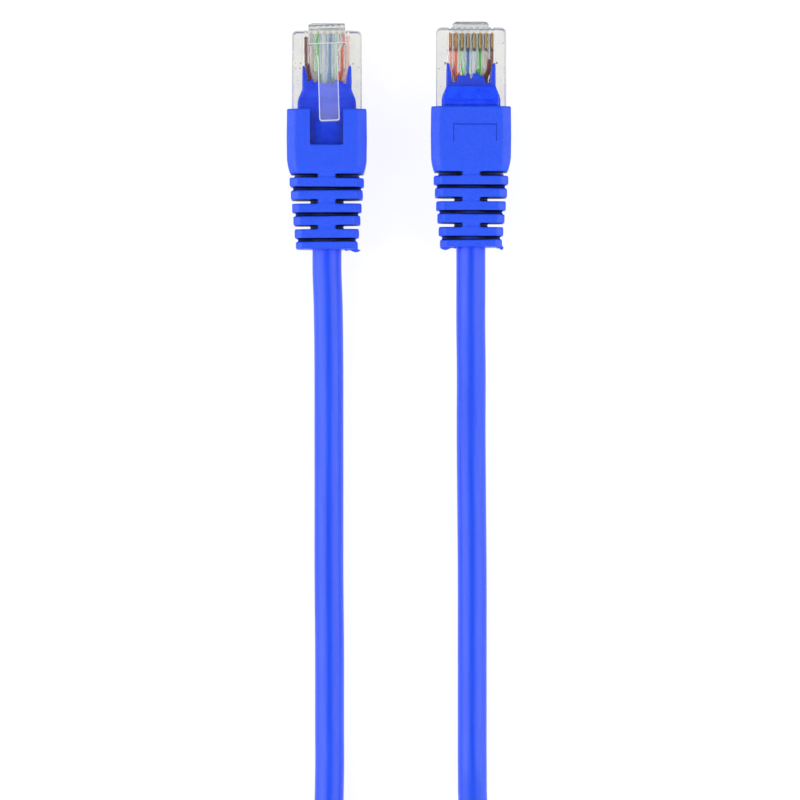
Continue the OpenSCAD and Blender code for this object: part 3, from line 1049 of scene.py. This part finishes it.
def bevelled(mesh, width, mark=False):
    """Bevels every sharp edge. With mark, the new faces take the mesh's second material."""
    settings = {"width": width, "segments": 2, "limit_method": "ANGLE", "angle_limit": math.radians(40)}
    if mark:
        mesh.materials.clear()
        mesh.materials.append(CLEAR_HOUSING)
        mesh.materials.append(HOUSING_EDGE_SHADE)
        settings["material"] = 1
    return with_modifiers(mesh, [("BEVEL", settings)])


# %% Inner mould outline
def smooth_step(low, high, value):
    t = min(1.0, max(0.0, (value - low) / (high - low)))
    return t * t * (3 - 2 * t)


def mould_half_width(y):
    """The mould widens in an S from the wires to the cavity."""
    return 3.98 + 0.92 * smooth_step(-9.0, -12.2, y)


def mould_section(y, grow=0.0):
    """A rounded section of the mould at y, a little larger where it has to wet the clear plastic."""
    back = smooth_step(-11.2, -12.4, y)
    low = FUNNEL_Z[0] + back * (CAVITY_Z[0] - FUNNEL_Z[0]) - grow
    high = FUNNEL_Z[1] + back * (CAVITY_Z[1] - FUNNEL_Z[1]) + grow
    half = mould_half_width(y) + grow
    return rounded_ring(y, 2 * half, high - low, 0.45, (low + high) / 2, 5)


def window_pad(low):
    """The pad of the mould that fills the window in the contact side. Its front corners are cut back."""
    back, front = WINDOW_Y
    outline = [(-4.62, back), (4.62, back), (4.62, front - 1.4), (4.45, front - 0.5), (4.1, front + 0.4)]
    return plan_slab(outline + [(-x, y) for x, y in outline[:1:-1]], (low, FUNNEL_Z[0] + 0.6))


MOULD_STATIONS = [-9.2 - 0.3 * k for k in range(12)] + [-14.0, -17.5, -HOUSING_LENGTH]
PRONG_X = (3.25, 4.12)
# A finger's sections, as (y, share of its full size)
PRONG_STATIONS = ((-9.8, 1.0), (-8.2, 0.95), (-7.2, 0.8), (-6.4, 0.62), (-5.85, 0.4))


def prongs(bm, grow):
    """Two fingers of the mould that ran forward beside the wires, on each face."""
    for side in (-1, 1):
        for middle in (FUNNEL_Z[0] + 0.45, FUNNEL_Z[1] - 0.45):
            rings = []
            for y, squeeze in PRONG_STATIONS:
                outer = side * (PRONG_X[1] - 0.1 * (1 - squeeze))
                inner = side * (PRONG_X[1] - (PRONG_X[1] - PRONG_X[0]) * squeeze)
                width = abs(outer - inner) + 2 * grow
                ring = rounded_ring(y, width, 0.9 * squeeze + 2 * grow, 0.14, middle, 2)
                rings.append([(x + (outer + inner) / 2, py, z) for x, py, z in ring])
            loft(bm, rings)


# %% Housing mesh
BLADE_SLOT = 0.185
BLADE_SLOT_END = -3.95
CHANNEL_RADIUS = 0.475
PARTING_LINE = 0.08
CRIMP_X = (-2, 2)
CRIMP_Y = (-19.5, -14.9)
# Air trapped in the clear plastic, as (x, y, z, radius): at the tips of the mould's fingers, and smaller ones
BUBBLES = {
    "a": [(-4.45, -5.45, 5.3, 0.13), (-5.2, -6.3, 5.5, 0.1), (-4.5, -6.3, 5.6, 0.12), (4.4, -5.5, 5.2, 0.16),
          (5.3, -6.1, 5.4, 0.1), (-5.25, -5.4, 5.6, 0.08), (-4.9, -8.3, 5.4, 0.07), (5.0, -9.4, 5.5, 0.06)],
    "b": [(4.35, -5.95, 1.3, 0.24), (-4.3, -5.9, 1.2, 0.2), (-5.35, -2.6, 1.0, 0.1), (5.35, -6.9, 0.9, 0.1),
          (5.1, -9.9, 1.0, 0.07), (-5.0, -8.8, 0.9, 0.06)],
}


def housing_shells():
    half = HOUSING_WIDTH / 2
    body = plan_slab(round_front(half, 0, -HOUSING_LENGTH, 0.85), (0, HOUSING_HEIGHT))
    root = plan_slab(round_front(3.0, ROOT_LENGTH, -0.6, 0.7), (4.7, 6.05))
    bm = bmesh.new()
    bm.from_mesh(bevelled(body, 0.24, mark=True))
    bm.from_mesh(bevelled(root, 0.17, mark=True))
    for side in (-1, 1):
        xs = sorted((side * 2.6, side * half))
        block(bm, xs, (-HOUSING_LENGTH, -EXPOSED - 0.5), (0.3, COLLAR_HEIGHT))
    return tidy_mesh(bm, "housing_shells")


def housing_cuts(end):
    bm = bmesh.new()
    top, edge = HOUSING_HEIGHT, HOUSING_WIDTH / 2 - 0.45
    block(bm, (-edge, edge), (-2.0, -1.88), (top - PARTING_LINE, top + 1))
    for side in (-1, 1):
        block(bm, sorted((side * 4.15, side * edge)), (-1.3, -1.18), (-1, PARTING_LINE))
    for x, y, z, radius in BUBBLES[end]:
        bmesh.ops.create_icosphere(bm, subdivisions=2, radius=radius, matrix=Matrix.Translation((x, y, z)))
    loft(bm, [mould_section(y) for y in [-9.21] + MOULD_STATIONS[1:-1] + [-HOUSING_LENGTH - 1]])
    prongs(bm, 0.0)
    bm.from_mesh(window_pad(-1))
    block(bm, CRIMP_X, CRIMP_Y, (AXIS_Z, HOUSING_HEIGHT + 1))
    for pin in PINS:
        x = pin_x(pin)
        loft(bm, [circle_ring(y, CHANNEL_RADIUS, x, WIRE_Z, 20) for y in (-10.0, -0.9)])
        block(bm, (x - BLADE_SLOT, x + BLADE_SLOT), (BLADE_SLOT_END, 1), (-1, WIRE_Z))
    return tidy_mesh(bm, "housing_cuts")


def make_housing(end):
    mesh = combine(housing_shells(), housing_cuts(end))
    add_piece("clear_housing_" + end, mesh, [CLEAR_HOUSING, HOUSING_EDGE_SHADE], "cable",
              ["plug_housing_" + end], PLACE[end], SHARP)


for end in ENDS:
    make_housing(end)

# %% [markdown]
# ## Latches
#
# The latch is a springy tongue moulded at the housing's front. It bends back over the plug, widens into the
# catch that snaps behind the edge of a jack, and ends in a narrow release lever. Seen from the side it is a
# thin wedge and a strip, so each part is a slab drawn in the latch's own plane, bevelled and then united
# with the others. The whole tongue leans by its rise. It rides on its own body, and turns about the round
# of the hinge.

# %% Latch mesh
HINGE = (0.6, 6.65)
LATCH_RISE = math.radians(11.2)
LATCH_LENGTH = 16.5
HEAD_WIDTH = 6.25
LEVER_WIDTH = 3.4
LEVER_Z = (0.07, 1.17)
CATCH_END = -3.3
# Side view of the catch, as (y, z) from the hinge
HEAD_OUTLINE = [
    (0.25, LEVER_Z[0]), (0.42, 0.42), (-0.3, 0.72), (CATCH_END + 0.05, 1.58), (CATCH_END, 1.5),
    (CATCH_END, LEVER_Z[0]),
]
HEAD_BEVEL = 0.2
BARREL_RADIUS = 0.55
BARREL_HALF = 3.0
# The lever's bevel, and how far forward its painted white highlight reaches
EDGE_WIDTH = 0.15
EDGE_START = -5.2
# Levers are never quite straight: how far each one points sideways, in degrees
LATCH_SKEW = {"a": 1.9, "b": 0.4}


def lever_outline():
    """Plan of the lever: it flows out of the catch, stays narrow and ends in two small round corners."""
    half, end, corner = LEVER_WIDTH / 2, -LATCH_LENGTH, 0.45
    right = [(2.9, CATCH_END + 0.6), (2.5, CATCH_END - 0.2), (half + 0.25, -4.4), (half, -5.3)]
    right += arc(half - corner, end + corner, corner, 0.0, turn=-math.pi / 2)
    return right + [(-x, y) for x, y in right[::-1]]


def make_latch(end):
    barrel = [(x, z) for x, _, z in circle_ring(0, BARREL_RADIUS, sides=24)]
    head = bevelled(side_slab(HEAD_OUTLINE, HEAD_WIDTH / 2), HEAD_BEVEL, mark=True)
    lever = bevelled(plan_slab(lever_outline(), LEVER_Z), EDGE_WIDTH, mark=True)
    # Bevel faces ahead of this point lose the painted white highlight
    for polygon in lever.polygons:
        if polygon.center.y > EDGE_START:
            polygon.material_index = 0
    mesh = combine(head, lever, "UNION")
    mesh = combine(mesh, side_slab(barrel, BARREL_HALF), "UNION")
    skew = Matrix.Rotation(math.radians(LATCH_SKEW[end]), 4, "Z")
    lean = Matrix.Translation((0, *HINGE)) @ skew @ Matrix.Rotation(-LATCH_RISE, 4, "X")
    add_piece("latch_tongue_" + end, mesh, [CLEAR_LATCH, LATCH_EDGE_HIGHLIGHT], "latch_" + end,
              ["latch_" + end], PLACE[end] @ lean, SHARP)


for end in ENDS:
    make_latch(end)

# %% [markdown]
# ## Contact blades
#
# Eight gold plated blades stand in the housing's slots. A blade is stamped from sheet, so its outline is a
# rectangle with round lower corners and three insulation piercing teeth. The eight are one row with an even
# pitch, so a node tree repeats the blade. A pale highlight is painted into the gold along the blades'
# raised edges.

# %% Gold
def contact_gold():
    material, tree, shader = new_material("contact_gold", Metallic=1.0, Roughness=0.25)
    grain, drift = object_grain(tree, 9000.0, 1200.0)
    # Painted highlight: the blades' raised edges are painted pale gold in the base colour
    edge = group(tree, RAISED_EDGE_HIGHLIGHT, Radius=0.00006, Strength=3.0)
    tone = mix_colour(tree, drift, (0.78, 0.46, 0.17, 1), (0.92, 0.62, 0.28, 1))
    tone = mix_colour(tree, edge.outputs["Edge"], tone, (1.0, 0.85, 0.6, 1))
    dress(tree, shader, tone, (grain, 0.18, 0.32), (grain, 0.000008, 0.6))
    return material


CONTACT_GOLD = contact_gold()


# %% Blade row
def row_tree():
    tree, given, out = geometry_tree("blade_row", {"Count": 8, "Pitch": PIN_PITCH})
    span = maths(tree, "MULTIPLY", maths(tree, "SUBTRACT", given["Count"], 1.0), given["Pitch"])
    first = flow(tree, "ShaderNodeCombineXYZ", {"X": maths(tree, "MULTIPLY", span, -0.5)})
    step = flow(tree, "ShaderNodeCombineXYZ", {"X": given["Pitch"]})
    row = {"Count": given["Count"], "Start Location": first, "Offset": step}
    places = flow(tree, "GeometryNodeMeshLine", row, mode="OFFSET")
    placed = flow(tree, "GeometryNodeInstanceOnPoints", {"Points": places, "Instance": given["Geometry"]})
    return close_tree(tree, given, out, placed)


BLADE_HALF = 0.145
BLADE_BEVEL = 0.05
TOOTH_PITCH = 1.35


def blade_outline():
    front, back, edge, low, corner = -0.75, -3.68, 0.55, 2.7, 0.5
    outline = arc(back + corner, edge + corner, corner, math.pi, 5)
    outline += arc(front - corner, edge + corner, corner, 1.5 * math.pi, 5)
    outline.append((front, low))
    for tooth in range(3):
        right = front - tooth * TOOTH_PITCH
        outline += [(right - 0.25, low + 1.0), (right - 0.5, low)]
        if tooth < 2:
            outline.append((right - TOOTH_PITCH, low))
    return outline


ROW = row_tree()


def make_contacts(end):
    blade = bevelled(side_slab(blade_outline(), BLADE_HALF), BLADE_BEVEL)
    mesh = grown("row", blade, ROW, Count=8, Pitch=PIN_PITCH, Material=CONTACT_GOLD)
    add_piece("contact_row_" + end, mesh, CONTACT_GOLD, "cable",
              [f"contact_{end}{pin}" for pin in PINS], PLACE[end], SHARP)


for end in ENDS:
    make_contacts(end)

# %% [markdown]
# ## Wires
#
# Each conductor has its own coloured insulation. The four plain colours each pair with a pale wire that has
# a stripe of the same colour. In the plug the eight lie flat in order. Behind it they drift a little,
# because they were pushed in by hand, and then come together in four twisted pairs inside the jacket. The
# stripe reads the `around` attribute, so it follows the wire.

# %% Wire insulation
WIRE_TONES = {
    "orange": (0.9, 0.12, 0.05, 1),
    "green": (0.03, 0.55, 0.03, 1),
    "blue": (0.003, 0.2, 0.56, 1),
    "brown": (0.17, 0.035, 0.022, 1),
}
PALE = {
    "orange": (0.9, 0.62, 0.58, 1),
    "green": (0.6, 0.82, 0.66, 1),
    "blue": (0.66, 0.74, 0.88, 1),
    "brown": (0.6, 0.5, 0.48, 1),
}
# How far each stripe is turned from the contact side, in degrees
STRIPE_TURN = {"orange": 55, "green": -55, "blue": 80, "brown": 70}


def insulation(colour, striped):
    name = ("white_" if striped else "plain_") + colour
    material, tree, shader = new_material(name, Roughness=0.34, Specular_IOR_Level=0.4)
    grain, drift = object_grain(tree, 5000.0, 900.0)
    base = WIRE_TONES[colour]
    if striped:
        around = node(tree, "ShaderNodeAttribute", attribute_name="around").outputs["Vector"]
        turn = math.radians(STRIPE_TURN[colour])
        middle = (math.sin(turn), math.cos(turn), 0)
        side = node(tree, "ShaderNodeVectorMath", {0: around, 1: middle}, operation="DOT_PRODUCT")
        band = spread(tree, side.outputs["Value"], (0.74, 0.84), (0.0, 1.0))
        tone = mix_colour(tree, band, PALE[colour], base)
    else:
        tone = mix_colour(tree, drift, tuple(0.8 * c for c in base[:3]) + (1,), base)
    dress(tree, shader, tone, (drift, 0.28, 0.42), (grain, 0.000006, 0.5))
    return material


# (colour, striped) of pins 1 to 8
PIN_COLOURS = [
    ("orange", True), ("orange", False), ("green", True), ("blue", False),
    ("blue", True), ("green", False), ("brown", True), ("brown", False),
]
INSULATION = {key: insulation(*key) for key in PIN_COLOURS}
print("insulation", sorted(m.name for m in INSULATION.values()))

# %% Wire paths
WIRE_RADIUS = 0.4
PAIR_ANGLES = [0, 0, 270, 90, 90, 270, 180, 180]
WIRE_PHASES = [0, 180, 0, 0, 180, 180, 0, 180]
PAIR_RADIUS = 0.43
PAIR_RING = 1.175
PAIR_LAY = 14.0
WIRE_FRONT = -0.95
WIRE_STEPS = 120
WIRE_SIDES = 14
# Pin 8 of plug b has sunk a little where it leaves the mould
SUNK_WIRE = ("b", 8)
SUNK_DEPTH = 0.45
# How far each pin's wire has strayed sideways where it enters the mould
STRAY = {
    "a": [-0.25, -0.12, 0.1, -0.05, 0.1, 0.05, 0.12, 0.62],
    "b": [-0.12, 0.1, -0.45, 0.12, 0.0, 0.1, 0.12, 0.93],
}


def wire_centre(end, pin, y):
    gathered = smooth_step(CHANNEL_END, JACKET_FRONT, y)
    stray = STRAY[end][pin - 1] * smooth_step(-4.2, -9.2, y) * (1 - smooth_step(-9.4, -11.5, y))
    turn = math.radians(WIRE_PHASES[pin - 1]) + 2 * math.pi * max(0.0, JACKET_FRONT - y) / PAIR_LAY
    angle = math.radians(PAIR_ANGLES[pin - 1])
    x = PAIR_RING * math.cos(angle) + PAIR_RADIUS * math.cos(turn)
    z = AXIS_Z + PAIR_RING * math.sin(angle) + PAIR_RADIUS * math.sin(turn)
    sunk = 0.0
    if (end, pin) == SUNK_WIRE:
        sunk = SUNK_DEPTH * smooth_step(-6.4, -8.0, y) * (1 - smooth_step(-9.4, -12.0, y))
    flat = Vector((pin_x(pin) + stray, y, WIRE_Z - sunk))
    return flat.lerp(Vector((x, y, z)), gathered)


def make_wire(end, pin):
    run = (BOOT_END - WIRE_FRONT) / WIRE_STEPS
    points = [wire_centre(end, pin, WIRE_FRONT + run * k) for k in range(WIRE_STEPS + 1)]
    colour, striped = PIN_COLOURS[pin - 1]
    material = INSULATION[(colour, striped)]
    mesh = swept_mesh("wire", points, WIRE_RADIUS, WIRE_SIDES, material)
    add_piece(f"insulation_{end}{pin}", mesh, material, "cable", [f"wire_{end}{pin}"], PLACE[end], 60)


for end in ENDS:
    for pin in PINS:
        make_wire(end, pin)

# %% [markdown]
# ## Inner moulds
#
# Before the housing is closed, blue plastic is shot round the wires, which locks them in the plug. Its
# front is ragged, because it crept forward between the wires before it froze. On the contact side it also
# fills the window, with two shallow grooves across. It is glossier and deeper in colour than the boot, as
# it lies against clear plastic.

# %% Inner mould material and mesh
def mould_blue():
    material, tree, shader = new_material("mould_blue", Roughness=0.3, Specular_IOR_Level=0.5)
    grain, drift = object_grain(tree, 3800.0, 700.0)
    tone = mix_colour(tree, drift, (0.001, 0.045, 0.95, 1), (0.004, 0.08, 1.0, 1))
    dress(tree, shader, tone, (grain, 0.25, 0.42), (grain, 0.00002, 0.7))
    return material


MOULD_BLUE = mould_blue()
MOULD_GROW = 0.03
MOULD_VOXEL = 0.13
MOULD_SMOOTHING = 2
CREEP_SEEDS = {"a": 5, "b": 11}
# Where the mould's front lies from pin 1 to pin 8, in half steps of the pitch
FRONTS = {
    "contact": (-8.9, -9.1, -9.0, -7.95, -7.9, -8.0, -7.5, -8.5, -7.6, -7.45, -7.95, -8.1, -9.4, -9.35, -9.2),
    "latch": (-8.9, -8.95, -8.4, -8.35, -8.3, -9.25, -8.6, -8.85, -8.9, -8.7, -8.35, -8.75, -8.1, -8.5, -8.6),
}


def ragged_front(end):
    """Fingers side by side in two rows, each as far forward as the plastic crept before it froze."""
    rng = random.Random(CREEP_SEEDS[end])
    bm = bmesh.new()
    for level, fronts in ((FUNNEL_Z[0] + 0.3, FRONTS["contact"]), (FUNNEL_Z[1] - 0.3, FRONTS["latch"])):
        for step, tip in enumerate(fronts):
            half = rng.uniform(0.24, 0.3)
            x = pin_x(step / 2 + 1)
            rings = []
            for y, squeeze in ((-9.9, 1.2), (tip - 0.4, 1.0), (tip - 0.12, 0.8), (tip, 0.5)):
                ring = rounded_ring(y, 2 * half * squeeze, 0.6 * squeeze + 2 * MOULD_GROW, 0.08, level, 2)
                rings.append([(px + x, py, pz) for px, py, pz in ring])
            loft(bm, rings)
    return bm


# The grooves in the window pad, as (y, half length), with their half width and depth
PAD_GROOVES = ((-12.15, 3.7), (-12.98, 4.3))
PAD_GROOVE_HALF = 0.09
PAD_GROOVE_DEPTH = 0.22


def pad_grooves():
    """Two shallow grooves across the window pad, cut last so that they stay crisp."""
    bm = bmesh.new()
    for y, half in PAD_GROOVES:
        block(bm, (-half, half), (y - PAD_GROOVE_HALF, y + PAD_GROOVE_HALF), (-1, PAD_GROOVE_DEPTH))
    return tidy_mesh(bm, "pad_grooves")


def make_mould(end):
    bm = ragged_front(end)
    loft(bm, [mould_section(y, MOULD_GROW) for y in MOULD_STATIONS])
    prongs(bm, MOULD_GROW)
    bm.from_mesh(window_pad(0.0))
    cuts = bmesh.new()
    loft(cuts, [circle_ring(y, CORD_DIAMETER / 2, 0, AXIS_Z) for y in (-HOUSING_LENGTH - 1, JACKET_FRONT)])
    hollow_back = rounded_ring(JACKET_FRONT - 0.1, 4.1, 4.1, 2.0, AXIS_Z)
    loft(cuts, [hollow_back, rounded_ring(-8.7, 7.9, 1.5, 0.5, WIRE_Z)])
    mesh = combine(tidy_mesh(bm, "mould_shells"), tidy_mesh(cuts, "mould_cuts"))
    mesh = combine(softened(mesh, MOULD_VOXEL, MOULD_SMOOTHING), pad_grooves(), solver="MANIFOLD")
    add_piece("wire_mould_" + end, mesh, MOULD_BLUE, "cable",
              ["inner_mould_" + end], PLACE[end])


for end in ENDS:
    make_mould(end)

# %% [markdown]
# ## CAD pieces that stay
#
# The bare copper cores and the jacket ends inside the boots have the right shape already, so they keep
# their CAD mesh and only get a better material.

# %% Materials on CAD nodes
def drawn_copper():
    material, tree, shader = new_material("drawn_copper", Metallic=1.0, Roughness=0.3)
    grain, drift = object_grain(tree, 9000.0, 1500.0, (1.0, 0.08, 1.0))
    tone = mix_colour(tree, drift, (0.68, 0.24, 0.11, 1), (0.92, 0.45, 0.25, 1))
    dress(tree, shader, tone, (grain, 0.2, 0.4))
    return material


def jacket_vinyl():
    material, tree, shader = new_material("jacket_vinyl", Roughness=0.4, Specular_IOR_Level=0.4)
    grain, drift = object_grain(tree, 3000.0, 500.0, (1.0, 0.1, 1.0))
    tone = mix_colour(tree, drift, CORD_BLUE, CORD_BLUE_LIGHT)
    dress(tree, shader, tone, relief=(grain, 0.00001, 0.5))
    return material


def repaint(node_name, material):
    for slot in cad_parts[node_name].material_slots:
        slot.material = material


COPPER, JACKET = drawn_copper(), jacket_vinyl()
for end in ENDS:
    repaint("wire_cores_" + end, COPPER)
    repaint("jacket_end_" + end, JACKET)
print("repainted", COPPER.name, JACKET.name)
